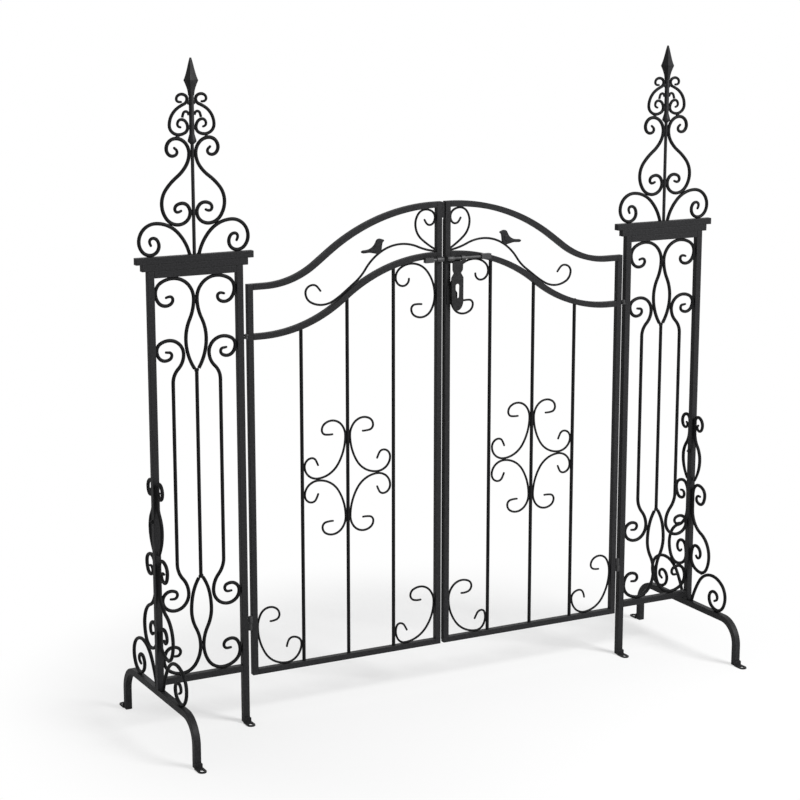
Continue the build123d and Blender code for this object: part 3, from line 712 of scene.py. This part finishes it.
# Hasp on the bolt, the locking tab behind its slot, and a gusset in the corner behind the bolt.
# Cut from plate of 3 mm. The hasp hangs from a collar that turns on the bolt; tab and gusset are welded to
# the right leaf's stile.
LATCH_Z = 1297.7
LATCH_Y = -FRAME / 2 - 7.5
BOLT = 9.0
COLLAR = (52.0, 64.0)
HASP_PLATE = 3.0
hasp_shape = [(66, -2), (66, -8), (57, -15), (56, -34), (50, -43), (58, -56), (58, -118)]
hasp_shape += ring_points(39, -120, 19.5, 0, -180, 14, 33)
hasp_shape += [(18, -56), (26, -43), (22, -34), (22, -8.2), (51.5, -8.2), (51.5, -2)]
slot_shape = ring_points(38.5, -80.5, 6.3, 0, 180, 10) + ring_points(38.5, -111, 5.6, 180, 360, 10)
cut_plate("hasp_plate", "hasp", [hasp_shape, slot_shape], HASP_PLATE,
          front_plane(LATCH_Y - 4.5, LATCH_Z), replaced=["hasp"])
COLLAR_RADIUS = 7.5
COLLAR_EDGE = 0.6
bore = BOLT / 2 + 0.1
length = COLLAR[1] - COLLAR[0]
collar_profile = [(0, bore), (0, COLLAR_RADIUS - COLLAR_EDGE), (COLLAR_EDGE, COLLAR_RADIUS),
                  (length - COLLAR_EDGE, COLLAR_RADIUS), (length, COLLAR_RADIUS - COLLAR_EDGE),
                  (length, bore)]
mesh = bmesh.new()
turn_on_lathe(mesh, collar_profile, Vector((COLLAR[0], LATCH_Y, LATCH_Z)), 1, 32, False, hollow=True)
# The collar has the same paler, glossier coat, whose paler colour is painted highlight.
finished(mesh, "hasp_collar", "hasp", glossy_paint_with_painted_highlight)
gusset_shape = [(22, -15), (50, -15), (58, -9), (58, 4), (22, 4)]
cut_plate("bolt_gusset", "right_leaf", [gusset_shape], 2.5, front_plane(2.4 - FRAME / 2, LATCH_Z))
tab_shape = [(10, -78), (24, -80), (36, -90), (44, -102)]
tab_shape += ring_points(33, -118, 11.5, 20, -80, 8) + [(10, -134)]
lock_hole = ring_points(35, -111, 4.5, 0, 337.5, 15)
cut_plate("locking_tab_plate", "right_leaf", [tab_shape, lock_hole], HASP_PLATE,
          front_plane(-(FRAME + HASP_PLATE) / 2, LATCH_Z), replaced=["locking_tab"])


# Where the gate stands: a pale floor without an edge, soft lamps, and the camera of the photograph.
# To the camera the floor turns white away from the gate, and it keeps the gate's soft shadows close by.
NEAR, FAR = 0.7, 1.4
WHITE_SHARE_NEAR = 0.52
ground = bmesh.new()
bmesh.ops.create_circle(ground, cap_ends=True, segments=96, radius=600.0)
data = bpy.data.meshes.new("floor")
ground.to_mesh(data)
ground.free()
floor = bpy.data.objects.new("floor", data)
bpy.context.scene.collection.objects.link(floor)
material = bpy.data.materials.new("pale_floor")
material.use_nodes = True
tree = material.node_tree
tree.nodes.clear()
matt = Shade.node(tree, "ShaderNodeBsdfDiffuse", inputs={"Color": (0.87, 0.87, 0.87, 1.0)})
glow = Shade.node(tree, "ShaderNodeEmission", inputs={"Color": (1.0, 1.0, 1.0, 1.0), "Strength": 1.0})
seen = Shade.node(tree, "ShaderNodeLightPath", output=0)
place = Shade.node(tree, "ShaderNodeNewGeometry", output=0)
away = Shade.node(tree, "ShaderNodeVectorMath", {"operation": "LENGTH"}, {0: place}, output=1)
share = Shade.node(tree, "ShaderNodeMapRange", {"interpolation_type": "SMOOTHSTEP"},
                   {0: away, 1: NEAR, 2: FAR, 3: WHITE_SHARE_NEAR, 4: 1.0})
mix = Shade.node(tree, "ShaderNodeMixShader", inputs={0: seen * share, 1: matt, 2: glow})
Shade.node(tree, "ShaderNodeOutputMaterial", inputs={"Surface": mix})
floor.data.materials.append(material)

world = bpy.data.worlds.new("studio")
bpy.context.scene.world = world
world.use_nodes = True
tree = world.node_tree
tree.nodes.clear()
camera_ray, glossy_ray, passing_ray = (
    Shade.node(tree, "ShaderNodeLightPath", output=which) for which in (0, 3, 6))
direct = camera_ray + glossy_ray + passing_ray
soft = Shade.node(tree, "ShaderNodeBackground", inputs={"Color": (1.0, 1.0, 1.0, 1.0), "Strength": 0.37})
white = Shade.node(tree, "ShaderNodeBackground", inputs={"Color": (1.0, 1.0, 1.0, 1.0), "Strength": 1.0})
sky = Shade.node(tree, "ShaderNodeMixShader", inputs={0: direct, 1: soft, 2: white})
Shade.node(tree, "ShaderNodeOutputWorld", inputs={"Surface": sky})

for name, place, size, power in (("key", (2.8, -4.4, 4.4), 2.4, 490.0),
                                 ("fill", (-4.5, -3.0, 2.4), 3.0, 6.0)):
    lamp = bpy.data.lights.new(name, "AREA")
    lamp.size = size
    lamp.energy = power
    holder = bpy.data.objects.new(name, lamp)
    holder.location = place
    holder.rotation_euler = (Vector((0, 0, 0.8)) - Vector(place)).to_track_quat("-Z", "Y").to_euler()
    bpy.context.scene.collection.objects.link(holder)

lens = bpy.data.cameras.new("camera")
lens.sensor_width = 36.0
lens.lens = 95.32
lens.clip_end = 2000.0
camera = bpy.data.objects.new("camera", lens)
camera.location = (-2.95298, -5.29291, 2.16813)
camera.rotation_euler = (math.radians(78), 0, math.radians(-28))
bpy.context.scene.collection.objects.link(camera)
bpy.context.scene.camera = camera
bpy.context.scene.view_settings.view_transform = "Standard"
